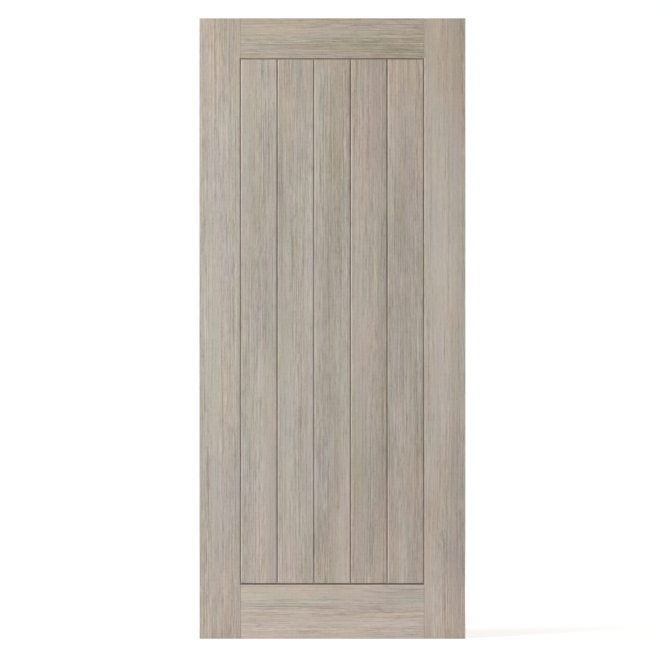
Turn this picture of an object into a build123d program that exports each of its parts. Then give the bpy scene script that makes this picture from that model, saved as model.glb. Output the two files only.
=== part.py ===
from build123d import *

import os

# Fire door leaf: a stile-and-rail frame round a flush panel of V-jointed boards on a solid core.
# Both faces are alike.
# +Z is up and the bottom end is z = 0. +X runs across the leaf from its left edge, x = 0.
# The front face looks along -Y, and y = 0 is the middle of the thickness. Sizes are in millimetres.

# Leaf overall
LEAF_WIDTH = 900.0
LEAF_HEIGHT = 2100.0
LEAF_THICKNESS = 44.0

# Frame members, measured from the leaf's edge to the centre line of the groove round the panel
STILE_WIDTH = 140.0
TOP_RAIL_HEIGHT = 137.0
BOTTOM_RAIL_HEIGHT = 186.0

# Layers
FACING_THICKNESS = 6.0
LIPPING_WIDTH = 8.0
TONGUE_THICKNESS = 3.0
BACK_LIP_THICKNESS = 3.0

# Panel of upright boards
BOARD_COUNT = 5
SLOT_WIDTH = 1.0
GROOVE_CHAMFER = 3.0
TONGUE_REACH = 5.0
TONGUE_CLEARANCE = 0.2

# Joints of the frame
PLOUGH_DEPTH = 12.0
HOUSING_CLEARANCE = 0.3
BUTT_JOINT_GAP = 0.3
ARRIS_RADIUS = 1.0

# Worked out from the sizes above
HALF_SLOT = SLOT_WIDTH / 2
HALF_THICKNESS = LEAF_THICKNESS / 2
FRAME_CORE_THICKNESS = LEAF_THICKNESS - 2 * FACING_THICKNESS
BOARD_THICKNESS = FACING_THICKNESS + TONGUE_THICKNESS + BACK_LIP_THICKNESS
PANEL_CORE_THICKNESS = LEAF_THICKNESS - 2 * BOARD_THICKNESS
HOUSED_EDGE = PLOUGH_DEPTH - HOUSING_CLEARANCE

FIELD_LEFT = STILE_WIDTH + HALF_SLOT
FIELD_WIDTH = LEAF_WIDTH - 2 * FIELD_LEFT
FIELD_BOTTOM = BOTTOM_RAIL_HEIGHT + HALF_SLOT
FIELD_TOP = LEAF_HEIGHT - TOP_RAIL_HEIGHT - HALF_SLOT
FIELD_HEIGHT = FIELD_TOP - FIELD_BOTTOM
FIELD_MIDDLE_Z = (FIELD_BOTTOM + FIELD_TOP) / 2
BOARD_PITCH = (FIELD_WIDTH + SLOT_WIDTH) / BOARD_COUNT
BOARD_FACE_WIDTH = BOARD_PITCH - SLOT_WIDTH

FACE_OPENING_WIDTH = FIELD_WIDTH + 2 * SLOT_WIDTH
FACE_OPENING_HEIGHT = FIELD_HEIGHT + 2 * SLOT_WIDTH
STILE_FACING_WIDTH = STILE_WIDTH - HALF_SLOT
RAIL_FACING_LENGTH = LEAF_WIDTH - 2 * (STILE_FACING_WIDTH + BUTT_JOINT_GAP)

CORNER = (Align.MIN, Align.MIN)
TURN_ABOUT = Pos(LEAF_WIDTH, 0, 0) * Rot(0, 0, 180)
FRONT_Y = -HALF_THICKNESS


def corner_rectangle(x, y, width, height):
    """A rectangle whose lower left corner is at x, y."""
    return Pos(x, y) * Rectangle(width, height, align=CORNER)


def stile_core():
    """Left stile's core: an upright, ploughed down its inner edge for the panel and the rails' tenons."""
    section = corner_rectangle(
        LIPPING_WIDTH, -FRAME_CORE_THICKNESS / 2, FIELD_LEFT - LIPPING_WIDTH, FRAME_CORE_THICKNESS
    )
    plough = corner_rectangle(
        FIELD_LEFT - PLOUGH_DEPTH, -PANEL_CORE_THICKNESS / 2, PLOUGH_DEPTH, PANEL_CORE_THICKNESS
    )
    return extrude(section - plough, LEAF_HEIGHT)


def lipping():
    """Strip that closes the left stile's outer edge, between its two facings."""
    section = corner_rectangle(0, -FRAME_CORE_THICKNESS / 2, LIPPING_WIDTH, FRAME_CORE_THICKNESS)
    return extrude(section, LEAF_HEIGHT)


def rail_core(height):
    """Bottom rail's core: ploughed along its inner edge, with a stub tenon on each end."""
    across = Plane(origin=(FIELD_LEFT, 0, 0), x_dir=(0, 1, 0), z_dir=(1, 0, 0))
    section = corner_rectangle(-FRAME_CORE_THICKNESS / 2, 0, FRAME_CORE_THICKNESS, height)
    plough = corner_rectangle(
        -PANEL_CORE_THICKNESS / 2, height - PLOUGH_DEPTH, PANEL_CORE_THICKNESS, PLOUGH_DEPTH
    )
    tenon = corner_rectangle(
        -PANEL_CORE_THICKNESS / 2, 0, PANEL_CORE_THICKNESS, height - PLOUGH_DEPTH
    )
    body = extrude(across * (section - plough), FIELD_WIDTH)
    tenons = extrude(across.offset(-HOUSED_EDGE) * tenon, FIELD_WIDTH + 2 * HOUSED_EDGE)
    return body + tenons


def panel_core():
    """Solid sheet between the two layers of boards, housed in the ploughs on all four sides."""
    return Pos(LEAF_WIDTH / 2, 0, FIELD_MIDDLE_Z) * Box(
        FIELD_WIDTH + 2 * HOUSED_EDGE, PANEL_CORE_THICKNESS, FIELD_HEIGHT + 2 * HOUSED_EDGE
    )


def groove_cutter():
    """Frustum that bevels the facings' arrises round the panel, mitred at its corners."""
    floor = Plane(
        origin=(LEAF_WIDTH / 2, FRONT_Y + GROOVE_CHAMFER, FIELD_MIDDLE_Z), x_dir=(1, 0, 0), z_dir=(0, -1, 0)
    )
    return extrude(floor * Rectangle(FACE_OPENING_WIDTH, FACE_OPENING_HEIGHT), GROOVE_CHAMFER, taper=-45)


def stile_facing():
    """Front facing of the left stile, with its outer arris rounded."""
    section = corner_rectangle(0, FRONT_Y, STILE_FACING_WIDTH, FACING_THICKNESS)
    slab = extrude(section, LEAF_HEIGHT)
    arris = slab.edges().filter_by(Axis.Z).sort_by(Axis.X)[:2].sort_by(Axis.Y)[0]
    return fillet(arris, ARRIS_RADIUS) - groove_cutter()


def rail_facing(bottom, height):
    """Front facing of a rail, a hairline short of the stiles' facings."""
    section = corner_rectangle(
        STILE_FACING_WIDTH + BUTT_JOINT_GAP, FRONT_Y, RAIL_FACING_LENGTH, FACING_THICKNESS
    )
    return Pos(0, 0, bottom) * extrude(section, height) - groove_cutter()


def board(number):
    """Front board, counted from the left, with a groove and a tongue towards its neighbours."""
    left = FIELD_LEFT + number * BOARD_PITCH
    tongue_y = FRONT_Y + FACING_THICKNESS
    section = corner_rectangle(left, FRONT_Y, BOARD_FACE_WIDTH, BOARD_THICKNESS)
    if number > 0:
        section -= corner_rectangle(
            left,
            tongue_y - TONGUE_CLEARANCE,
            TONGUE_REACH + TONGUE_CLEARANCE,
            TONGUE_THICKNESS + 2 * TONGUE_CLEARANCE,
        )
    if number < BOARD_COUNT - 1:
        section += corner_rectangle(
            left + BOARD_FACE_WIDTH, tongue_y, SLOT_WIDTH + TONGUE_REACH, TONGUE_THICKNESS
        )
    plank = Pos(0, 0, FIELD_BOTTOM) * extrude(section, FIELD_HEIGHT)
    return chamfer(plank.faces().sort_by(Axis.Y)[0].edges(), GROOVE_CHAMFER)


def both_sides(name, front_piece, turned_name):
    """A front piece, and the like piece of the back face, which is the same one turned about."""
    return {name: front_piece, turned_name: TURN_ABOUT * front_piece}


def leaf():
    """Every piece of the leaf, by node name. Left and right are as seen from the front."""
    bottom_core = rail_core(FIELD_BOTTOM)
    top_core = Pos(LEAF_WIDTH, 0, LEAF_HEIGHT) * Rot(0, 180, 0) * rail_core(LEAF_HEIGHT - FIELD_TOP)
    top_facing_bottom = FIELD_TOP + SLOT_WIDTH
    nodes = {
        "bottom_rail_core": bottom_core,
        "top_rail_core": top_core,
        "panel_core": panel_core(),
    }
    nodes |= both_sides("left_stile_core", stile_core(), "right_stile_core")
    nodes |= both_sides("left_lipping", lipping(), "right_lipping")
    nodes |= both_sides("left_stile_front_facing", stile_facing(), "right_stile_back_facing")
    flipped = mirror(stile_facing(), Plane.XZ)
    nodes |= both_sides("left_stile_back_facing", flipped, "right_stile_front_facing")
    bottom_facing = rail_facing(0, FIELD_BOTTOM - SLOT_WIDTH)
    nodes |= both_sides("bottom_rail_front_facing", bottom_facing, "bottom_rail_back_facing")
    top_facing = rail_facing(top_facing_bottom, LEAF_HEIGHT - top_facing_bottom)
    nodes |= both_sides("top_rail_front_facing", top_facing, "top_rail_back_facing")
    for number in range(BOARD_COUNT):
        nodes |= both_sides(f"front_board_{number + 1}", board(number), f"back_board_{number + 1}")
    return nodes


def main():
    os.makedirs("parts", exist_ok=True)
    for name, shape in leaf().items():
        export_step(shape, f"parts/{name}.step")


main()
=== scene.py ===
"""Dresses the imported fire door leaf: foil over its facings, boards and lippings, bare cores, a stage.

Lengths are in metres, in the leaf's own frame: +Z is up, +X runs across the leaf from its left edge,
and the front face looks along -Y. A piece is drawn in three directions of its own: across the grain,
inwards from its show face, and along the grain.
"""

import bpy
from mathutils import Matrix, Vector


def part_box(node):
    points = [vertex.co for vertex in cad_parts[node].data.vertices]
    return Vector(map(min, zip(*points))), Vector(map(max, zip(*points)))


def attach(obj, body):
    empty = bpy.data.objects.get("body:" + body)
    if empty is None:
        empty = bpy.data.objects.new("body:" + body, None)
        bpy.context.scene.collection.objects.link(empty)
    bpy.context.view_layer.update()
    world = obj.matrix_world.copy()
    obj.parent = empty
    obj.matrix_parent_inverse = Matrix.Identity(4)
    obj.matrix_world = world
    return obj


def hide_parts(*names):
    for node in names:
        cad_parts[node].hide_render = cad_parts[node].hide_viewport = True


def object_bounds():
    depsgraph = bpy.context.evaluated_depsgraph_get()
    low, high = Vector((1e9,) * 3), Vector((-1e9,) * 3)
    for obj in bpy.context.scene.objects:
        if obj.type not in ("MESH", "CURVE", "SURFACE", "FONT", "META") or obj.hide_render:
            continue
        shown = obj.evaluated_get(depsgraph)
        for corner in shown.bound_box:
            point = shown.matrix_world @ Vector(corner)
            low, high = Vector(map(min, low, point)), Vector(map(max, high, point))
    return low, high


bl_info = {
    "name": "Fire Door Leaf",
    "version": (1, 0, 0),
    "blender": (4, 5, 0),
    "location": "3D View > Sidebar > Fire Door",
    "description": "Dresses a boarded fire door leaf in grey oak foil and sets it on a plain stage",
    "category": "Object",
}

import math

import bpy
import numpy as np
from bpy.props import FloatProperty, FloatVectorProperty, PointerProperty
from mathutils import Vector

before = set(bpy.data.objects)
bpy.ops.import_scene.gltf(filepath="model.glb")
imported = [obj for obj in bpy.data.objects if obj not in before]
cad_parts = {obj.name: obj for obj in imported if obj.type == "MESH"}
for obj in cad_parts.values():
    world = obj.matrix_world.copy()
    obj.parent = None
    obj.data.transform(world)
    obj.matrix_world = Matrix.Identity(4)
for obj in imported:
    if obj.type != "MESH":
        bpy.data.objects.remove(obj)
CAD_BOX = [list(corner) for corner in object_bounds()]

MM = 0.001
AXES = {
    "+x": (1, 0, 0),
    "-x": (-1, 0, 0),
    "+y": (0, 1, 0),
    "-y": (0, -1, 0),
    "+z": (0, 0, 1),
    "-z": (0, 0, -1),
}
FACES = {"front": "+y", "back": "-y"}

# The leaf in the photograph: the picture's side, and the leaf's size and centre there, in pixels
PICTURE_SIDE = 665
LEAF_IN_PICTURE = (266.2, 620.1)
LEAF_CENTRE_IN_PICTURE = (332.4, 328.6)

# Each member's shade against the mean, in steps of the print, and the lean of its piece of foil
COOL, PLAIN, WARM = "#FCFDFF", "#FFFFFF", "#FFFCFC"
MEMBERS = {
    "left_stile": (0.0, COOL),
    "right_stile": (1.0, WARM),
    "top_rail": (0.0, PLAIN),
    "bottom_rail": (2.0, PLAIN),
    "board_1": (0.0, COOL),
    "board_2": (0.5, COOL),
    "board_3": (0.0, PLAIN),
    "board_4": (0.5, WARM),
    "board_5": (0.5, WARM),
}
CUT_STEP = (1.37, 2.3)  # metres across and along the print from the place where a member is cut to the next
ROLLS = {"front": 0, "back": 1}
EDGE_ROLL = 2
ROLL_STEP = (13.0, 21.0)  # metres from a place on one roll of the print to the like place on the next


def linear(hex_colour):
    """The linear RGB of an sRGB colour written as hex."""
    srgb = np.array([int(hex_colour[k : k + 2], 16) for k in (1, 3, 5)]) / 255
    return tuple(np.where(srgb <= 0.04045, srgb / 12.92, ((srgb + 0.055) / 1.055) ** 2.4).tolist())


def opaque(colour):
    """A colour property as RGBA."""
    return (*colour, 1.0)


class LeafSizes(bpy.types.PropertyGroup):
    """Sizes of the softened edges that the foil is drawn over."""

    groove_bevel: FloatProperty(
        name="Groove bevel",
        description="Width and depth of the 45 degree bevel on each side of a groove",
        default=3 * MM,
        min=0.5 * MM,
        max=5 * MM,
        unit="LENGTH",
    )
    bevel_softness: FloatProperty(
        name="Bevel softness",
        description="How far the foil rounds the arris between a face and its bevel",
        default=0.6 * MM,
        min=0.1 * MM,
        max=2 * MM,
        unit="LENGTH",
    )
    outer_arris: FloatProperty(
        name="Outer arris",
        description="Radius of the leaf's long arrises",
        default=1 * MM,
        min=0.2 * MM,
        max=3 * MM,
        unit="LENGTH",
    )
    eased_edge: FloatProperty(
        name="Eased edge",
        description="Radius that is sanded on edges that butt or are trimmed",
        default=0.35 * MM,
        min=0.1 * MM,
        max=2 * MM,
        unit="LENGTH",
    )
    # Partly the sealed cut and partly painted shade: the bevel by the slot takes the groove's dark colour
    # over this width
    sealed_and_shaded_strip: FloatProperty(
        name="Sealed strip",
        description="Strip of a bevel beside the slot where the cut shows the sealed board",
        default=0.15 * MM,
        min=0,
        max=2 * MM,
        unit="LENGTH",
    )
    # Mostly painted shade: the board's end bevel takes the groove's dark colour over this width, beyond the
    # sealed cut
    sealed_and_shaded_end: FloatProperty(
        name="Sealed end",
        description="The same strip on the bevel across a board's end",
        default=1.8 * MM,
        min=0,
        max=2 * MM,
        unit="LENGTH",
    )
    # Painted shade: the bottom rail's bevel looks up and would catch the light, so it takes the groove's dark
    # colour over this width
    painted_shade_ledge: FloatProperty(
        name="Dusty ledge",
        description="The same strip on the bottom rail's bevel, which looks up and gathers dust",
        default=1.9 * MM,
        min=0,
        max=3 * MM,
        unit="LENGTH",
    )
    tongue_clearance: FloatProperty(
        name="Tongue clearance",
        description="Room round a board's tongue in its neighbour's groove",
        default=0.2 * MM,
        min=0.05 * MM,
        max=1 * MM,
        unit="LENGTH",
    )


class LeafFinish(bpy.types.PropertyGroup):
    """Colours of the foil and of what shows at the leaf's bare ends."""

    foil_pale: FloatVectorProperty(
        name="Foil, pale",
        description="Palest fibres of the printed oak",
        default=linear("#C5BDB2"),
        subtype="COLOR",
        min=0,
        max=1,
    )
    foil_mid: FloatVectorProperty(
        name="Foil, middle",
        description="Ground colour of the printed oak",
        default=linear("#ABA398"),
        subtype="COLOR",
        min=0,
        max=1,
    )
    foil_deep: FloatVectorProperty(
        name="Foil, deep",
        description="Darkest fibres and pores of the printed oak",
        default=linear("#847C71"),
        subtype="COLOR",
        min=0,
        max=1,
    )
    ink_drift: FloatProperty(
        name="Ink drift",
        description="How far the print's red and blue drift, which makes pinkish, straw and lilac patches",
        default=0.17,
        min=0,
        max=1,
        subtype="FACTOR",
    )
    # Darker than sealed board alone: in part painted shade that deepens the grooves
    groove: FloatVectorProperty(
        name="Groove",
        description="Sealed bottom and walls of the grooves",
        default=linear("#5F564C"),
        subtype="COLOR",
        min=0,
        max=1,
    )
    fibreboard: FloatVectorProperty(
        name="Fibreboard",
        description="Bare cut edge of the facings",
        default=linear("#A88A67"),
        subtype="COLOR",
        min=0,
        max=1,
    )
    early_wood: FloatVectorProperty(
        name="Early wood",
        description="Pale part of a growth ring in the softwood cores",
        default=linear("#DDBF8E"),
        subtype="COLOR",
        min=0,
        max=1,
    )
    late_wood: FloatVectorProperty(
        name="Late wood",
        description="Dark part of a growth ring in the softwood cores",
        default=linear("#B5864F"),
        subtype="COLOR",
        min=0,
        max=1,
    )


class LeafStage(bpy.types.PropertyGroup):
    """Light, floor and camera round the leaf."""

    floor_colour: FloatVectorProperty(
        name="Floor",
        description="Pale studio floor",
        default=linear("#E8E7E4"),
        subtype="COLOR",
        min=0,
        max=1,
    )
    key_power: FloatProperty(
        name="Key light",
        description="Power of the large soft light on the left",
        default=228,
        min=0,
        unit="POWER",
    )
    back_power: FloatProperty(
        name="Back light",
        description="Power of the soft light behind the leaf",
        default=150,
        min=0,
        unit="POWER",
    )
    bounce_power: FloatProperty(
        name="Bounce light",
        description="Power of the low light that lifts the leaf's foot",
        default=0.4,
        min=0,
        unit="POWER",
    )
    fill: FloatProperty(
        name="Fill",
        description="Strength of the even light from all round",
        default=0.29,
        min=0,
        max=2,
        subtype="FACTOR",
    )
    camera_distance: FloatProperty(
        name="Camera distance",
        description="From the front face to the camera",
        default=15.0,
        min=2,
        max=40,
        unit="LENGTH",
    )


def node(tree, kind, inputs=None, **settings):
    """Adds one node. Settings are its own properties, and inputs are values or the sockets that feed it."""
    made = tree.nodes.new(kind)
    for name, value in settings.items():
        setattr(made, name, value)
    for name, value in (inputs or {}).items():
        if isinstance(value, bpy.types.NodeSocket):
            tree.links.new(value, made.inputs[name])
        else:
            made.inputs[name].default_value = value
    return made


def bare_material(name):
    """A new material with an empty node tree, or the one that an earlier operator made."""
    found = bpy.data.materials.get(name)
    if found:
        return found, None
    made = bpy.data.materials.new(name)
    made.use_nodes = True
    made.node_tree.nodes.clear()
    return made, made.node_tree


def surface(tree, colour, roughness, height, strength, depth):
    """Ends a material: the dull surface of wood, resin or lacquer, with a relief so many mm deep."""
    relief = node(tree, "ShaderNodeBump", {"Height": height, "Strength": strength, "Distance": depth * MM})
    inputs = {"Base Color": colour, "Roughness": roughness, "Normal": relief.outputs[0], "IOR": 1.5}
    shader = node(tree, "ShaderNodeBsdfPrincipled", inputs)
    node(tree, "ShaderNodeOutputMaterial", {0: shader.outputs[0]})


# Printed figure of the oak, bands and then fibres: cell across and along the grain in mm, and weight
BANDS = (
    (300, 1300, 0.27),
    (80, 1300, 0.36),
    (50, 170, 0.14),
    (6, 1300, 0.17),
)
FIBRES = (
    (3.4, 1200, 0.20),
    (3.0, 9, 0.16),
    (2.4, 36, 0.32),
    (1.6, 640, 0.38),
    (1.3, 300, 0.36),
    (1.3, 150, 0.46),
    (1.0, 75, 0.44),
)
LIVELY = (30, 1400, 1.7)  # the same for the bands where fibres stand out more, or less
STREAK = (2.2, 600, 1.0)  # and for the few fibres that stand out pale or dark
STREAK_WEIGHT = 4.0  # of the cube
STRAY_CELL = (90, 620)  # mm, the slow wander of the fibres
STRAY_REACH = 14  # mm, for a wave of 1
RING_CELL = (60, 700)  # mm, the swells whose contours are the growth rings
RINGS_PER_SWELL = 9.0
RING_EDGE = 0.1  # share of a ring's width over which its dark line fades
RING_WEIGHT = -0.17  # for a wave of 1
PORE_CELL = (0.8, 14)  # mm, drawn about twice as wide as real pores, so that they show
PORE_PEAK = (0.6, 0.66)  # level of the noise where a pore begins, and where it is full
PORE_WEIGHT = -0.16
INK_CELL = (60, 360)  # mm, patches where the print is a little warmer or cooler
INK_SHARES = (1.0, 0.0, 1.25)  # how far red, green and blue take part in the drift
SHADE_STEP = 0.05
END_LIGHT_WARMTH = 0.058  # how much less green and blue is painted into the foil at the leaf's ends than at its middle: painted warm light
TOP_LIGHT_STRAW = 0.075  # how much less blue again at the leaf's top: the same painted warm light
FOIL_ROUGHNESS = (0.66, 0.5)  # in the dark hollows, and on the pale fibres


def grain_noise(tree, place, cell, octaves=0.0):
    """Noise that is drawn out along the grain: a cell is so many mm across it and along it."""
    stretch = (1 / (cell[0] * MM), 1 / (cell[1] * MM), 0)
    cells = node(tree, "ShaderNodeVectorMath", {0: place, 1: stretch}, operation="MULTIPLY").outputs[0]
    inputs = {"Vector": cells, "Scale": 1.0, "Detail": octaves}
    return node(tree, "ShaderNodeTexNoise", inputs, noise_dimensions="2D")


def figure(tree, place, layers, tone):
    """Adds layers of drawn out noise to a tone, each about its mean."""
    for across, along, weight in layers:
        layer = grain_noise(tree, place, (across, along)).outputs[0]
        centred = node(tree, "ShaderNodeMath", {0: layer, 1: 0.5}, operation="SUBTRACT").outputs[0]
        inputs = {0: centred, 1: weight, 2: tone}
        tone = node(tree, "ShaderNodeMath", inputs, operation="MULTIPLY_ADD").outputs[0]
    return tone


def strayed_grain(tree, wave):
    """The grain map with its fibres moved sideways by a slow noise, further where the wave is greater."""
    grain = node(tree, "ShaderNodeUVMap", uv_map="grain").outputs["UV"]
    slow = grain_noise(tree, grain, STRAY_CELL, 2.0).outputs[0]
    centred = node(tree, "ShaderNodeMath", {0: slow, 1: 0.5}, operation="SUBTRACT").outputs[0]
    reach = node(tree, "ShaderNodeMath", {0: wave, 1: STRAY_REACH * MM}, operation="MULTIPLY").outputs[0]
    aside = node(tree, "ShaderNodeMath", {0: centred, 1: reach}, operation="MULTIPLY").outputs[0]
    sideways = node(tree, "ShaderNodeCombineXYZ", {0: aside}).outputs[0]
    return node(tree, "ShaderNodeVectorMath", {0: grain, 1: sideways}, operation="ADD").outputs[0]


def printed_tone(tree, grain, wave):
    """Tone of the print, from dark to pale: the member's shade, bands, fibres, growth rings and pores."""
    shade = node(tree, "ShaderNodeAttribute", attribute_name="shade").outputs["Fac"]
    inputs = {0: shade, 1: SHADE_STEP, 2: 0.5}
    tone = node(tree, "ShaderNodeMath", inputs, operation="MULTIPLY_ADD").outputs[0]
    tone = figure(tree, grain, BANDS, tone)

    # Streaks are the far ends of a fine noise, pale and dark: its cube is flat in between
    fine = figure(tree, grain, (STREAK,), 0.0)
    cube = node(tree, "ShaderNodeMath", {0: fine, 1: 3.0}, operation="POWER").outputs[0]
    streak = node(tree, "ShaderNodeMath", {0: cube, 1: STREAK_WEIGHT}, operation="MULTIPLY").outputs[0]

    # Fibres and streaks stand out more in some bands than in others
    inputs = {0: figure(tree, grain, FIBRES, streak), 1: figure(tree, grain, (LIVELY,), 1.0), 2: tone}
    tone = node(tree, "ShaderNodeMath", inputs, operation="MULTIPLY_ADD").outputs[0]

    # Growth rings are thin dark contours of a slow swell
    swell = grain_noise(tree, grain, RING_CELL, 1.0).outputs[0]
    count = node(tree, "ShaderNodeMath", {0: swell, 1: RINGS_PER_SWELL}, operation="MULTIPLY").outputs[0]
    beside = node(tree, "ShaderNodeMath", {0: count, 1: 0.5}, operation="PINGPONG").outputs[0]
    fade = {"Value": beside, "From Max": RING_EDGE, "To Min": 1.0, "To Max": 0.0}
    line = node(tree, "ShaderNodeMapRange", fade).outputs[0]
    ring = node(tree, "ShaderNodeMath", {0: line, 1: wave}, operation="MULTIPLY").outputs[0]
    inputs = {0: ring, 1: RING_WEIGHT, 2: tone}
    tone = node(tree, "ShaderNodeMath", inputs, operation="MULTIPLY_ADD").outputs[0]

    # Pores are the peaks of a fine noise
    dots = grain_noise(tree, grain, PORE_CELL).outputs[0]
    peak = {"Value": dots, "From Min": PORE_PEAK[0], "From Max": PORE_PEAK[1]}
    pores = node(tree, "ShaderNodeMapRange", peak).outputs[0]
    inputs = {0: pores, 1: PORE_WEIGHT, 2: tone}
    return node(tree, "ShaderNodeMath", inputs, operation="MULTIPLY_ADD").outputs[0]


def painted_end_light(tree):
    """Painted warm light by height: the print is tinted warmer towards the leaf's ends, and more straw
    towards its top.

    Green and blue are held back by the square of the height above or below the leaf's middle, and blue by the
    cube of the height above it as well. The height is taken as a share of half the leaf's.
    """
    place = node(tree, "ShaderNodeTexCoord").outputs["Object"]
    height = node(tree, "ShaderNodeSeparateXYZ", {0: place}).outputs["Z"]
    low, high = CAD_BOX[0][2], CAD_BOX[1][2]
    above = node(tree, "ShaderNodeMath", {0: height, 1: (low + high) / 2}, operation="SUBTRACT").outputs[0]
    share = node(tree, "ShaderNodeMath", {0: above, 1: (high - low) / 2}, operation="DIVIDE").outputs[0]
    square = node(tree, "ShaderNodeMath", {0: share, 1: share}, operation="MULTIPLY").outputs[0]
    inputs = {0: square, 1: -END_LIGHT_WARMTH, 2: 1.0}
    green = node(tree, "ShaderNodeMath", inputs, operation="MULTIPLY_ADD").outputs[0]
    upper = node(tree, "ShaderNodeMath", {0: share, 1: 0.0}, operation="MAXIMUM").outputs[0]
    cube = node(tree, "ShaderNodeMath", {0: upper, 1: 3.0}, operation="POWER").outputs[0]
    inputs = {0: cube, 1: -TOP_LIGHT_STRAW, 2: green}
    blue = node(tree, "ShaderNodeMath", inputs, operation="MULTIPLY_ADD").outputs[0]
    return node(tree, "ShaderNodeCombineXYZ", {0: 1.0, 1: green, 2: blue}).outputs[0]


def grey_oak_foil(finish):
    """Grey oak decor foil: printed paper, embossed and lacquered matt, pressed over fibreboard.

    It gives the eye long fine fibres in pale and dark greige, short dark pores, thin growth rings in flat
    arches, bands that lean a little to pink, straw or lilac, and a dull sheen that the embossing breaks up.
    """
    material, tree = bare_material("grey_oak_foil")
    if tree is None:
        return material
    wave = node(tree, "ShaderNodeAttribute", attribute_name="wave").outputs["Fac"]
    lean = node(tree, "ShaderNodeAttribute", attribute_name="tint").outputs["Vector"]
    grain = strayed_grain(tree, wave)
    tone = printed_tone(tree, grain, wave)
    ramp = node(tree, "ShaderNodeValToRGB", {0: tone})
    ramp.color_ramp.elements[0].color = opaque(finish.foil_deep)
    ramp.color_ramp.elements[1].color = opaque(finish.foil_pale)
    ramp.color_ramp.elements.new(0.5).color = opaque(finish.foil_mid)

    # The print's red and blue drift about their mean, each by a noise of its own
    inks = grain_noise(tree, grain, INK_CELL, 1.0).outputs["Color"]
    drift = np.array(INK_SHARES) * finish.ink_drift
    inputs = {0: inks, 1: drift, 2: 1 - drift / 2}
    tint = node(tree, "ShaderNodeVectorMath", inputs, operation="MULTIPLY_ADD").outputs[0]
    colour = ramp.outputs[0]
    # The colour takes the print's drift, the member's lean, and the painted warm light of the leaf's ends
    for factor in (tint, lean, painted_end_light(tree)):
        colour = node(tree, "ShaderNodeVectorMath", {0: colour, 1: factor}, operation="MULTIPLY").outputs[0]

    range_of_sheen = {"Value": tone, "To Min": FOIL_ROUGHNESS[0], "To Max": FOIL_ROUGHNESS[1]}
    sheen = node(tree, "ShaderNodeMapRange", range_of_sheen).outputs[0]
    surface(tree, colour, sheen, tone, strength=0.3, depth=0.15)
    return material


DUST_CELL = 6  # mm, clouds of dust and sealer
FELT_CELL = 2.5  # mm, tufts of fibre, drawn coarser than real ones, so that they show
FLAKE = 5  # mm, flakes of chipboard


def sealed_and_shaded_groove(finish):
    """Sealed fibreboard at the bottom of the grooves: the same greige, dulled by sealer and dust, and
    darkened further as painted shade that deepens the grooves.
    """
    material, tree = bare_material("sealed_and_shaded_groove")
    if tree is None:
        return material
    place = node(tree, "ShaderNodeTexCoord").outputs["Object"]
    clouds = {"Vector": place, "Scale": 1 / (DUST_CELL * MM), "Detail": 3.0}
    dust = node(tree, "ShaderNodeTexNoise", clouds).outputs[0]
    ramp = node(tree, "ShaderNodeValToRGB", {0: dust})
    ramp.color_ramp.elements[0].color = opaque(0.75 * np.array(finish.groove))
    ramp.color_ramp.elements[1].color = opaque(finish.groove)
    rough = node(tree, "ShaderNodeMapRange", {"Value": dust, "To Min": 0.6, "To Max": 0.85}).outputs[0]
    surface(tree, ramp.outputs[0], rough, dust, strength=0.2, depth=0.1)
    return material


def sawn_fibreboard(finish):
    """Medium density fibreboard, sawn: an even felt of fine brown fibres, a little fluffy and quite dull."""
    material, tree = bare_material("sawn_fibreboard")
    if tree is None:
        return material
    place = node(tree, "ShaderNodeTexCoord").outputs["Object"]
    tufts = {"Vector": place, "Scale": 1 / (FELT_CELL * MM), "Detail": 4.0, "Roughness": 0.7}
    felt = node(tree, "ShaderNodeTexNoise", tufts).outputs[0]
    ramp = node(tree, "ShaderNodeValToRGB", {0: felt})
    ramp.color_ramp.elements[0].position = 0.25
    ramp.color_ramp.elements[0].color = opaque(0.7 * np.array(finish.fibreboard))
    ramp.color_ramp.elements[1].position = 0.75
    ramp.color_ramp.elements[1].color = opaque(np.minimum(1, 1.2 * np.array(finish.fibreboard)))
    rough = node(tree, "ShaderNodeMapRange", {"Value": felt, "To Min": 0.75, "To Max": 0.95}).outputs[0]
    surface(tree, ramp.outputs[0], rough, felt, strength=0.4, depth=0.2)
    return material


LAMINATION = 34  # mm, width of the strips that the cores are glued up from
GLUE_LINE = 0.012  # share of a strip's width
PITH_SPREAD = 90  # mm, how far a strip's pith lies from it
RING_SPACING = 3.2  # mm between growth rings
RING_WANDER = 6  # mm, how far a ring strays from its circle
WANDER_CELL = 25  # mm
FIBRE_CELL = 1.5  # mm, drawn coarser than real fibres, so that they show
GRAIN_STRETCH = 50  # how much longer the pattern is along the grain


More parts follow.
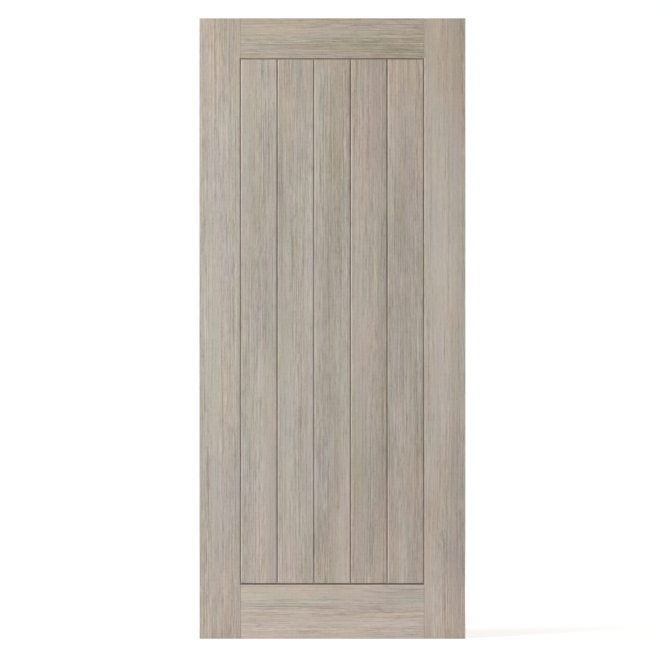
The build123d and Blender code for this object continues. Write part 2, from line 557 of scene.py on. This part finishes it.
def laminated_softwood(finish, name, across, grain):
    """Sawn pine or spruce, glued up from strips: curved rings on the ends, straight lines along the sides.

    The rings are circles about each strip's own pith, so one solid pattern gives both kinds of face.
    """
    material, tree = bare_material(name)
    if tree is None:
        return material
    place = node(tree, "ShaderNodeTexCoord").outputs["Object"]
    aside = node(tree, "ShaderNodeSeparateXYZ", {0: place}).outputs[across]
    strips = node(tree, "ShaderNodeMath", {0: aside, 1: LAMINATION * MM}, operation="DIVIDE").outputs[0]
    strip = node(tree, "ShaderNodeMath", {0: strips}, operation="FLOOR").outputs[0]
    draw = node(tree, "ShaderNodeTexWhiteNoise", {"W": strip}, noise_dimensions="1D").outputs
    centred = {0: draw["Color"], 1: (0.5, 0.5, 0.5)}
    pith = node(tree, "ShaderNodeVectorMath", centred, operation="SUBTRACT").outputs[0]
    spread = {0: pith, "Scale": 2 * PITH_SPREAD * MM}
    pith = node(tree, "ShaderNodeVectorMath", spread, operation="SCALE").outputs[0]
    from_pith = node(tree, "ShaderNodeVectorMath", {0: place, 1: pith}, operation="SUBTRACT").outputs[0]
    squash = [1.0, 1.0, 1.0]
    squash[grain] = 1 / GRAIN_STRETCH
    section = node(tree, "ShaderNodeVectorMath", {0: from_pith, 1: squash}, operation="MULTIPLY").outputs[0]

    # Late wood darkens towards the outside of each ring
    slow = {"Vector": section, "Scale": 1 / (WANDER_CELL * MM), "Detail": 2.0}
    wander = node(tree, "ShaderNodeTexNoise", slow).outputs[0]
    radius = node(tree, "ShaderNodeVectorMath", {0: section}, operation="LENGTH").outputs["Value"]
    inputs = {0: wander, 1: RING_WANDER * MM, 2: radius}
    stray = node(tree, "ShaderNodeMath", inputs, operation="MULTIPLY_ADD").outputs[0]
    rings = node(tree, "ShaderNodeMath", {0: stray, 1: RING_SPACING * MM}, operation="DIVIDE").outputs[0]
    ring = node(tree, "ShaderNodeMath", {0: rings}, operation="FRACT").outputs[0]
    late = node(tree, "ShaderNodeMath", {0: ring, 1: 2.5}, operation="POWER").outputs[0]
    fine = {"Vector": section, "Scale": 1 / (FIBRE_CELL * MM), "Detail": 2.0}
    fibre = node(tree, "ShaderNodeTexNoise", fine).outputs[0]
    late = node(tree, "ShaderNodeMath", {0: fibre, 1: 0.6, 2: late}, operation="MULTIPLY_ADD").outputs[0]

    # Each strip has a shade of its own, and a dark glue line beside it
    within = node(tree, "ShaderNodeMath", {0: strips}, operation="FRACT").outputs[0]
    glue = node(tree, "ShaderNodeMath", {0: within, 1: GLUE_LINE}, operation="LESS_THAN").outputs[0]
    paler = node(tree, "ShaderNodeMath", {0: late, 1: 0.3}, operation="SUBTRACT").outputs[0]
    inputs = {0: draw["Value"], 1: 0.25, 2: paler}
    tone = node(tree, "ShaderNodeMath", inputs, operation="MULTIPLY_ADD").outputs[0]
    tone = node(tree, "ShaderNodeMath", {0: glue, 1: 0.8, 2: tone}, operation="MULTIPLY_ADD").outputs[0]
    ramp = node(tree, "ShaderNodeValToRGB", {0: tone})
    ramp.color_ramp.elements[0].color = opaque(finish.early_wood)
    ramp.color_ramp.elements[1].color = opaque(finish.late_wood)
    rough = node(tree, "ShaderNodeMapRange", {"Value": late, "To Min": 0.8, "To Max": 0.6}).outputs[0]
    surface(tree, ramp.outputs[0], rough, tone, strength=0.3, depth=0.15)
    return material


def pressed_chipboard(finish):
    """Pressed chipboard of the panel's core: flat flakes of softwood in dull resin."""
    material, tree = bare_material("pressed_chipboard")
    if tree is None:
        return material
    place = node(tree, "ShaderNodeTexCoord").outputs["Object"]
    flakes = node(tree, "ShaderNodeTexVoronoi", {"Vector": place, "Scale": 1 / (FLAKE * MM)})
    pick = node(tree, "ShaderNodeSeparateColor", {0: flakes.outputs["Color"]}).outputs[0]
    ramp = node(tree, "ShaderNodeValToRGB", {0: pick})
    ramp.color_ramp.elements[0].color = opaque(finish.late_wood)
    ramp.color_ramp.elements[1].color = opaque(finish.early_wood)
    rough = node(tree, "ShaderNodeMapRange", {"Value": pick, "To Min": 0.75, "To Max": 0.9}).outputs[0]
    surface(tree, ramp.outputs[0], rough, pick, strength=0.3, depth=0.3)
    return material


FOIL, GROOVE, BARE = range(3)
UPRIGHT_WAVE, RAIL_WAVE = 0.45, 1.0  # how far fibres stray and rings show: the rails have livelier wood
ROUND_POINTS = 5  # on a quarter round
BEVEL_POINTS = (0.25, 0.5, 0.7, 0.85, 1.0, 1.15, 1.3, 1.5, 2.0, 2.5)  # in bevels, closest at the bend
DECIMALS = 7  # of a metre: stations that agree so far are one
PAST_THE_END = 1.0  # metres, how far an opening that runs through is taken beyond a rail's ends


def bevel_depth(distance, sizes):
    """Depth of a softened 45 degree bevel at a distance from the piece's edge.

    Half the sum of s and the root of s squared plus the softness squared, where s is how far the point lies
    inside the bevel: a hyperbola that runs from the bevel's slope into the flat face. What is left of it two
    bevels in from the edge is taken off, so that the face is flat from there.
    """
    inside = sizes.groove_bevel - distance
    beyond = -sizes.groove_bevel
    depth, left_over = ((s + np.sqrt(s**2 + sizes.bevel_softness**2)) / 2 for s in (inside, beyond))
    return depth - left_over


def eased_depth(distance, radius):
    """Depth of a quarter round at a distance from the edge: the radius less the circle's height there."""
    inside = np.clip(radius - distance, 0, radius)
    return radius - np.sqrt(radius**2 - inside**2)


def edge_stations(sizes):
    """Distances in from an edge at which its easing, its bevel and the flat beside them are drawn."""
    turn = np.linspace(0, math.pi / 2, ROUND_POINTS)
    radii = (sizes.eased_edge, sizes.outer_arris)
    round_part = np.concatenate([radius * (1 - np.cos(turn)) for radius in radii])
    bevel_part = sizes.groove_bevel * np.array(BEVEL_POINTS)
    return np.unique(np.round(np.concatenate([round_part, bevel_part]), DECIMALS))


def between_edges(length, stations):
    """Positions from one edge to the other: the stations, and the same ones back from the far edge."""
    return np.concatenate([stations, (length - stations)[::-1]])


def middles(positions):
    """Half way points between each position and the next."""
    return (positions[1:] + positions[:-1]) / 2


class Piece:
    """Where a piece lies: its directions across, inwards and along, its corner, and its size in each."""

    def __init__(self, cad_node, across, inwards, along):
        low, high = (np.array(corner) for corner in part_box(cad_node))
        self.cad_node = cad_node
        self.axes = np.array([AXES[a] for a in (across, inwards, along)], float)
        self.corner = np.where(self.axes.sum(axis=0) > 0, low, high)
        self.width, self.thickness, self.length = np.abs(self.axes) @ (high - low)


def swept_piece(piece, across, depth, along, skins, end_skin, roll, member, wave):
    """Carries a closed section along the grain and closes both ends.

    Point i, j lies at across[j], depth[i, j] and along[i] in the piece's own directions. The section runs
    round from the show face, and skins[i, j] is the material of the quad beyond point i, j. The grain map
    holds the distance round the section and the distance along, from the place on the print where the piece
    is cut.
    """
    rows, points = depth.shape
    local = np.stack(np.broadcast_arrays(across[None, :], depth, along[:, None]), axis=-1)
    vertices = (piece.corner + local @ piece.axes).reshape(-1, 3)

    row, point = np.meshgrid(np.arange(rows - 1), np.arange(points), indexing="ij")
    after = (point + 1) % points
    here, there = row * points, (row + 1) * points
    sides = np.stack([here + point, here + after, there + after, there + point], axis=-1).reshape(-1, 4)
    first_end = np.arange(points)[::-1]
    last_end = np.arange(points) + (rows - 1) * points

    middle = depth[rows // 2]
    steps = np.hypot(np.diff(across, append=across[0]), np.diff(middle, append=middle[0]))
    girth = np.concatenate([[0.0], np.cumsum(steps)])
    side_map = np.stack(
        [
            np.stack([girth[point], girth[point + 1], girth[point + 1], girth[point]], axis=-1),
            np.stack([along[row], along[row], along[row + 1], along[row + 1]], axis=-1),
        ],
        axis=-1,
    ).reshape(-1, 4, 2)
    first_map = np.stack([across, depth[0]], axis=-1)[::-1]
    last_map = np.stack([across, depth[-1]], axis=-1)

    if np.linalg.det(piece.axes) < 0:
        sides, side_map = sides[:, ::-1], side_map[:, ::-1]
        first_end, last_end = first_end[::-1], last_end[::-1]
        first_map, last_map = first_map[::-1], last_map[::-1]
    corners = np.concatenate([side_map.reshape(-1, 2), first_map, last_map])
    shade, tint = MEMBERS[member]
    turn = 1 + list(MEMBERS).index(member)
    corners += turn * np.array(CUT_STEP) + roll * np.array(ROLL_STEP)

    name = piece.cad_node + "_foiled"
    mesh = bpy.data.meshes.new(name)
    mesh.from_pydata(vertices, [], sides.tolist() + [first_end.tolist(), last_end.tolist()])
    mesh.uv_layers.new(name="grain").data.foreach_set("uv", corners.astype(np.float32).ravel())
    for label, value in (("shade", shade), ("wave", wave)):
        values = np.full(len(vertices), value, np.float32)
        mesh.attributes.new(label, "FLOAT", "POINT").data.foreach_set("value", values)
    tints = np.tile(linear(tint), len(vertices)).astype(np.float32)
    mesh.attributes.new("tint", "FLOAT_VECTOR", "POINT").data.foreach_set("vector", tints)
    skin = np.concatenate([skins.ravel(), [end_skin, end_skin]]).astype(np.int32)
    mesh.polygons.foreach_set("material_index", skin)
    mesh.polygons.foreach_set("use_smooth", skin == FOIL)
    for material in skin_materials(bpy.context.scene.leaf_finish):
        mesh.materials.append(material)
    mesh.update()

    made = bpy.data.objects.new(name, mesh)
    bpy.context.scene.collection.objects.link(made)
    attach(made, "root")
    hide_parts(piece.cad_node)
    return made


def skin_materials(finish):
    """The materials of a foiled piece, in the order of FOIL, GROOVE and BARE."""
    return [grey_oak_foil(finish), sealed_and_shaded_groove(finish), sawn_fibreboard(finish)]


def facing(piece, sizes, opening, outer_radius, outer_skin, strip, end_strip, roll, member, wave):
    """Facing of a stile or rail, drawn from its outer edge to the groove.

    Its depth is the greatest of the easing at its outer edge, its inner edge and its two ends, and of the
    bevel at its inner edge. The bevel is cut only over the opening: it is the least of the bevels measured
    from the inner edge and from the opening's two ends, which gives its mitred corners. The foil stops short
    of the slot, and of each end by its own strip, where the cut shows the sealed board. The strip by the slot
    is in part painted shade that deepens the groove, and on the bottom rail it is painted shade over most of
    its upward bevel.
    """
    stations = edge_stations(sizes)
    across = between_edges(piece.width, stations)
    along = between_edges(piece.length, stations)
    for mark, way in zip(opening, (1, -1)):
        if 0 < mark < piece.length:
            along = np.concatenate([along, mark + way * (sizes.groove_bevel - stations)])
    along = np.unique(np.round(along, DECIMALS))
    a, s = across[None, :], along[:, None]
    bevel = bevel_depth(piece.width - a, sizes)
    for mark, way in zip(opening, (1, -1)):
        bevel = np.minimum(bevel, bevel_depth(sizes.groove_bevel - way * (s - mark), sizes))
    easing = np.maximum(eased_depth(a, outer_radius), eased_depth(piece.width - a, sizes.eased_edge))
    for end in (0.0, piece.length):
        easing = np.maximum(easing, eased_depth(np.abs(s - end), sizes.eased_edge))
    front = np.maximum(np.maximum(bevel, 0), easing)
    back = np.full((len(along), 2), piece.thickness)
    skins = np.tile([FOIL] * (len(across) - 1) + [GROOVE, BARE, outer_skin], (len(along) - 1, 1))
    from_inner = piece.width - middles(across)[None, :]
    level = middles(along)[:, None]
    in_opening = (level > opening[0]) & (level < opening[1])
    # The strip by the slot is the sealed cut and, in part, painted shade that deepens the groove
    cut = (from_inner < strip) & in_opening
    cut |= np.minimum(level, piece.length - level) < end_strip
    skins[:, : len(across) - 1][cut] = GROOVE
    section = np.concatenate([across, [piece.width, 0.0]])
    return swept_piece(piece, section, np.hstack([front, back]), along, skins, BARE, roll, member, wave)


class DOOR_OT_stile_facings(bpy.types.Operator):
    """Wrap the facings of both stiles in foil, with their bevels along the panel"""

    bl_idname = "door.stile_facings"
    bl_label = "Stile Facings"

    def execute(self, context):
        sizes = context.scene.leaf_sizes
        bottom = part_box("bottom_rail_front_facing")[1].z - sizes.groove_bevel
        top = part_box("top_rail_front_facing")[0].z + sizes.groove_bevel
        for side, across in (("left", "+x"), ("right", "-x")):
            for face, inwards in FACES.items():
                piece = Piece(f"{side}_stile_{face}_facing", across, inwards, "+z")
                facing(
                    piece, sizes, (bottom, top), sizes.outer_arris, FOIL, sizes.sealed_and_shaded_strip, 0.0,
                    ROLLS[face], f"{side}_stile", UPRIGHT_WAVE,
                )
        return {"FINISHED"}


class DOOR_OT_rail_facings(bpy.types.Operator):
    """Wrap the facings of both rails in foil, with the grain level"""

    bl_idname = "door.rail_facings"
    bl_label = "Rail Facings"

    def execute(self, context):
        sizes = context.scene.leaf_sizes
        for rail, across in (("bottom", "+z"), ("top", "-z")):
            for face, inwards in FACES.items():
                piece = Piece(f"{rail}_rail_{face}_facing", across, inwards, "+x")
                through = (-PAST_THE_END, piece.length + PAST_THE_END)
                # On the bottom rail the strip is painted shade over most of its upward bevel
                strip = sizes.painted_shade_ledge if rail == "bottom" else sizes.sealed_and_shaded_strip
                facing(
                    piece, sizes, through, sizes.eased_edge, BARE, strip, sizes.eased_edge,
                    ROLLS[face], f"{rail}_rail", RAIL_WAVE,
                )
        return {"FINISHED"}


class DOOR_OT_boards(bpy.types.Operator):
    """Wrap the boards of both faces in foil, over their tongues and grooves"""

    bl_idname = "door.boards"
    bl_label = "Boards"

    def execute(self, context):
        sizes = context.scene.leaf_sizes
        first, second = (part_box(f"front_board_{k}") for k in (1, 2))
        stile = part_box("left_stile_front_facing")
        pitch = second[0].x - first[0].x
        slot = first[0].x - stile[1].x
        cheek = stile[1].y - stile[0].y
        face_width = pitch - slot
        tongue_reach = first[1].x - second[0].x
        count = sum(name.startswith("front_board_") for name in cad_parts)
        for face, inwards in FACES.items():
            across = "+x" if face == "front" else "-x"
            for k in range(1, count + 1):
                piece = Piece(f"{face}_board_{k}", across, inwards, "+z")
                tongued, grooved = k < count, k > 1
                board(
                    piece, sizes, face_width, cheek, tongue_reach, tongued, grooved,
                    ROLLS[face], f"board_{k}",
                )
        return {"FINISHED"}


def board(piece, sizes, face_width, cheek, tongue_reach, tongued, grooved, roll, member):
    """Board with a tongue on its far edge and a groove in its near one, where the leaf has them.

    Its depth on the show face is the greatest of the bevels measured from its four edges, which meet in
    mitres. The tongue is half of what lies behind the cheek, and the groove is the tongue with its clearance
    all round.
    The foil stops short of the slots, and more so on the ends, where the cut shows the sealed board; these
    dark strips are also painted shade, the wide ones on the ends most of all.
    """
    stations = edge_stations(sizes)
    across = between_edges(face_width, stations)
    along = between_edges(piece.length, stations)
    a, s = across[None, :], along[:, None]
    bevels = [bevel_depth(t, sizes) for t in (a, face_width - a, s, piece.length - s)]
    front = np.maximum.reduce([*np.broadcast_arrays(*bevels), np.zeros((len(along), len(across)))])

    tongue = (piece.thickness - cheek) / 2
    room = sizes.tongue_clearance
    hollow = tongue_reach + room
    tip = piece.width
    rear = []
    if tongued:
        rear += [(face_width, cheek), (tip, cheek), (tip, cheek + tongue), (face_width, cheek + tongue)]
    rear += [(face_width, piece.thickness), (0.0, piece.thickness)]
    if grooved:
        low, high = cheek - room, cheek + tongue + room
        rear += [(0.0, high), (hollow, high), (hollow, low), (0.0, low)]
    rear = np.array(rear)
    back = np.broadcast_to(rear[:, 1], (len(along), len(rear)))
    section = np.concatenate([across, rear[:, 0]])
    skins = np.tile([FOIL] * (len(across) - 1) + [GROOVE] * (len(rear) + 1), (len(along) - 1, 1))
    level, aside = middles(along)[:, None], middles(across)[None, :]
    from_end = np.minimum(level, piece.length - level)
    from_side = np.minimum(aside, face_width - aside)
    # The dark strips by the slots and on the ends are the sealed cut and, in part, painted shade that deepens
    # the grooves
    cut = (from_side < sizes.sealed_and_shaded_strip) | ((from_end < sizes.sealed_and_shaded_end) & (from_end < from_side))
    skins[:, : len(across) - 1][cut] = GROOVE
    depth = np.hstack([front, back])
    return swept_piece(piece, section, depth, along, skins, GROOVE, roll, member, UPRIGHT_WAVE)


class DOOR_OT_lippings(bpy.types.Operator):
    """Band the lippings on the leaf's long edges with foil"""

    bl_idname = "door.lippings"
    bl_label = "Lippings"

    def execute(self, context):
        sizes = context.scene.leaf_sizes
        for side, inwards in (("left", "+x"), ("right", "-x")):
            piece = Piece(f"{side}_lipping", "+y", inwards, "+z")
            lipping(piece, sizes, f"{side}_stile")
        return {"FINISHED"}


def lipping(piece, sizes, member):
    """Lipping whose show face is the leaf's edge, eased by a quarter round on all four sides."""
    stations = edge_stations(sizes)
    across = between_edges(piece.width, stations)
    along = between_edges(piece.length, stations)
    a, s = across[None, :], along[:, None]
    sides = [eased_depth(t, sizes.eased_edge) for t in (a, piece.width - a, s, piece.length - s)]
    front = np.maximum.reduce(np.broadcast_arrays(*sides))
    back = np.full((len(along), 2), piece.thickness)
    section = np.concatenate([across, [piece.width, 0.0]])
    skins = np.tile([FOIL] * (len(across) - 1) + [BARE] * 3, (len(along) - 1, 1))
    depth = np.hstack([front, back])
    return swept_piece(piece, section, depth, along, skins, BARE, EDGE_ROLL, member, UPRIGHT_WAVE)


class DOOR_OT_cores(bpy.types.Operator):
    """Give the frame's cores sawn softwood and sealed ledges, and the panel's core chipboard"""

    bl_idname = "door.cores"
    bl_label = "Cores"

    def execute(self, context):
        finish = context.scene.leaf_finish
        upright = laminated_softwood(finish, "laminated_softwood_upright", across=0, grain=2)
        level = laminated_softwood(finish, "laminated_softwood_level", across=2, grain=0)
        for name in ("left_stile_core", "right_stile_core"):
            dress_core(name, upright, sealed_and_shaded_groove(finish))
        for name in ("bottom_rail_core", "top_rail_core"):
            dress_core(name, level, sealed_and_shaded_groove(finish))
        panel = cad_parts["panel_core"].data
        panel.materials.clear()
        panel.materials.append(pressed_chipboard(finish))
        return {"FINISHED"}


SQUARE_ON = 0.9  # share of a normal that points along the thickness on a broad face
OUTERMOST = 0.99  # share of the half thickness beyond which a face is the core's outer one


def dress_core(name, wood, sealer):
    """Wood all over a core, but for its two broad faces: their free strips are the grooves' sealed ledges, in
    the groove's colour, which is partly painted shade.
    """
    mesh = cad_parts[name].data
    mesh.materials.clear()
    mesh.materials.append(wood)
    mesh.materials.append(sealer)
    low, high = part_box(name)
    normals = np.zeros(3 * len(mesh.polygons), np.float32)
    centres = np.zeros(3 * len(mesh.polygons), np.float32)
    mesh.polygons.foreach_get("normal", normals)
    mesh.polygons.foreach_get("center", centres)
    facing_out = np.abs(normals.reshape(-1, 3)[:, 1]) > SQUARE_ON
    outermost = np.abs(centres.reshape(-1, 3)[:, 1]) > OUTERMOST * max(abs(low.y), abs(high.y))
    mesh.polygons.foreach_set("material_index", (facing_out & outermost).astype(np.int32))
    mesh.update()


# The stage, in metres and degrees. Lamps are placed from the middle of the leaf's foot
FLOOR_REACH = 40.0
FLOOR_GLOW = (0.46, 0.79)  # strength by the leaf, and far from it
GLOW_RISE = (1.0, 7.0)  # distances between which it rises
KEY_DISTANCE = 4.2
KEY_SIDE_ANGLE = 56
KEY_HEIGHT = 2.9
KEY_SIZE = (2.2, 2.6)
BACK_PLACE = (3.2, 3.6, 3.4)
BACK_SIZE = (2.6, 2.6)
BOUNCE_PLACE = (0.0, -0.26, 0.05)
BOUNCE_SIZE = (1.5, 0.1)
WHITE = (1, 1, 1, 1)


def seen_directly(tree):
    """1 for what the camera sees, straight, mirrored or through glass, and 0 for light that lands."""
    path = node(tree, "ShaderNodeLightPath").outputs
    rays = {0: path["Is Camera Ray"], 1: path["Is Glossy Ray"]}
    seen = node(tree, "ShaderNodeMath", rays, operation="ADD").outputs[0]
    rays = {0: seen, 1: path["Is Transmission Ray"]}
    return node(tree, "ShaderNodeMath", rays, operation="ADD", use_clamp=True).outputs[0]


def studio_floor(colour):
    """Matt white studio floor: it takes the leaf's soft shadow.

    A glow, weakest by the leaf, lifts it to the backdrop's white, as the lamps of a studio's back wall would.
    """
    material, tree = bare_material("studio_floor")
    seen = seen_directly(tree)
    place = node(tree, "ShaderNodeTexCoord").outputs["Object"]
    away = node(tree, "ShaderNodeVectorMath", {0: place}, operation="LENGTH").outputs["Value"]
    rise = {"Value": away, "From Min": GLOW_RISE[0], "From Max": GLOW_RISE[1]}
    rise |= {"To Min": FLOOR_GLOW[0], "To Max": FLOOR_GLOW[1]}
    lift = node(tree, "ShaderNodeMapRange", rise, interpolation_type="SMOOTHSTEP").outputs[0]
    glow = node(tree, "ShaderNodeMath", {0: seen, 1: lift}, operation="MULTIPLY").outputs[0]
    paint = node(tree, "ShaderNodeBsdfDiffuse", {"Color": opaque(colour)}).outputs[0]
    light = node(tree, "ShaderNodeEmission", {"Strength": glow}).outputs[0]
    both = node(tree, "ShaderNodeAddShader", {0: paint, 1: light}).outputs[0]
    node(tree, "ShaderNodeOutputMaterial", {0: both})
    return material


def white_surround(fill):
    """Even light all round, seen as plain white by the camera and in reflections."""
    world = bpy.data.worlds.new("studio_surround")
    world.use_nodes = True
    tree = world.node_tree
    tree.nodes.clear()
    seen = seen_directly(tree)
    lighting = node(tree, "ShaderNodeBackground", {"Color": WHITE, "Strength": fill}).outputs[0]
    backdrop = node(tree, "ShaderNodeBackground", {"Color": WHITE, "Strength": 1.0}).outputs[0]
    mixed = node(tree, "ShaderNodeMixShader", {0: seen, 1: lighting, 2: backdrop}).outputs[0]
    node(tree, "ShaderNodeOutputWorld", {0: mixed})
    return world


def soft_lamp(name, place, aim, size, power):
    """Rectangular soft light at a place, turned to face a point."""
    data = bpy.data.lights.new(name, "AREA")
    data.shape = "RECTANGLE"
    data.size, data.size_y = size
    data.energy = power
    lamp = bpy.data.objects.new(name, data)
    lamp.location = place
    lamp.rotation_mode = "QUATERNION"
    lamp.rotation_quaternion = Vector(np.array(aim) - np.array(place)).to_track_quat("-Z", "Y")
    bpy.context.scene.collection.objects.link(lamp)
    return lamp


class DOOR_OT_stage(bpy.types.Operator):
    """Set the leaf on a pale floor under soft studio light, with the camera front on"""

    bl_idname = "door.stage"
    bl_label = "Stage"

    def execute(self, context):
        scene = context.scene
        stage = scene.leaf_stage
        low, high = np.array(CAD_BOX)
        centre = (low + high) / 2

        corners = FLOOR_REACH * np.array([(-1, -1, 0), (1, -1, 0), (1, 1, 0), (-1, 1, 0)])
        mesh = bpy.data.meshes.new("studio_floor")
        mesh.from_pydata(corners + [centre[0], 0, low[2]], [], [(0, 1, 2, 3)])
        mesh.materials.append(studio_floor(stage.floor_colour))
        floor = bpy.data.objects.new("studio_floor", mesh)
        scene.collection.objects.link(floor)
        scene.world = white_surround(stage.fill)

        side = math.radians(KEY_SIDE_ANGLE)
        key_place = centre + KEY_DISTANCE * np.array([-math.sin(side), -math.cos(side), 0])
        key_place[2] = KEY_HEIGHT
        soft_lamp("key_light", key_place, centre, KEY_SIZE, stage.key_power)
        back_place = centre * (1, 1, 0) + BACK_PLACE
        soft_lamp("back_light", back_place, centre, BACK_SIZE, stage.back_power)
        bounce_place = centre * (1, 1, 0) + BOUNCE_PLACE
        bounce_aim = centre * (1, 1, 0) + (0, 0, 2 * BOUNCE_PLACE[2])
        soft_lamp("bounce_light", bounce_place, bounce_aim, BOUNCE_SIZE, stage.bounce_power)

        across, _, up = high - low
        pixels = math.sqrt(LEAF_IN_PICTURE[0] / across * LEAF_IN_PICTURE[1] / up)
        aside, down = (np.array(LEAF_CENTRE_IN_PICTURE) - PICTURE_SIDE / 2) / pixels
        data = bpy.data.cameras.new("camera")
        data.lens = data.sensor_width * stage.camera_distance * pixels / PICTURE_SIDE
        camera = bpy.data.objects.new("camera", data)
        camera.location = (centre[0] - aside, low[1] - stage.camera_distance, centre[2] + down)
        camera.rotation_euler = (math.pi / 2, 0, 0)
        scene.collection.objects.link(camera)
        scene.camera = camera
        scene.view_settings.view_transform = "Standard"
        return {"FINISHED"}


class VIEW3D_PT_fire_door(bpy.types.Panel):
    """Lists the leaf's pieces and the settings that they are made from"""

    bl_label = "Fire Door"
    bl_space_type = "VIEW_3D"
    bl_region_type = "UI"
    bl_category = "Fire Door"

    def draw(self, context):
        for operator in OPERATORS:
            self.layout.operator(operator.bl_idname)
        for group in (context.scene.leaf_sizes, context.scene.leaf_finish, context.scene.leaf_stage):
            box = self.layout.box()
            for name in group.bl_rna.properties.keys():
                if name not in ("rna_type", "name"):
                    box.prop(group, name)


GROUPS = {"leaf_sizes": LeafSizes, "leaf_finish": LeafFinish, "leaf_stage": LeafStage}
OPERATORS = (
    DOOR_OT_stile_facings,
    DOOR_OT_rail_facings,
    DOOR_OT_boards,
    DOOR_OT_lippings,
    DOOR_OT_cores,
    DOOR_OT_stage,
)


def register():
    """Registers the settings, the operators and the panel."""
    for name, group in GROUPS.items():
        bpy.utils.register_class(group)
        setattr(bpy.types.Scene, name, PointerProperty(type=group))
    for kind in (*OPERATORS, VIEW3D_PT_fire_door):
        bpy.utils.register_class(kind)


def unregister():
    """Takes them away again."""
    for kind in (VIEW3D_PT_fire_door, *reversed(OPERATORS)):
        bpy.utils.unregister_class(kind)
    for name, group in GROUPS.items():
        delattr(bpy.types.Scene, name)
        bpy.utils.unregister_class(group)


def main():
    """Makes every piece, then the stage."""
    register()
    bpy.ops.door.stile_facings()
    bpy.ops.door.rail_facings()
    bpy.ops.door.boards()
    bpy.ops.door.lippings()
    bpy.ops.door.cores()
    bpy.ops.door.stage()


if __name__ == "__main__":
    main()
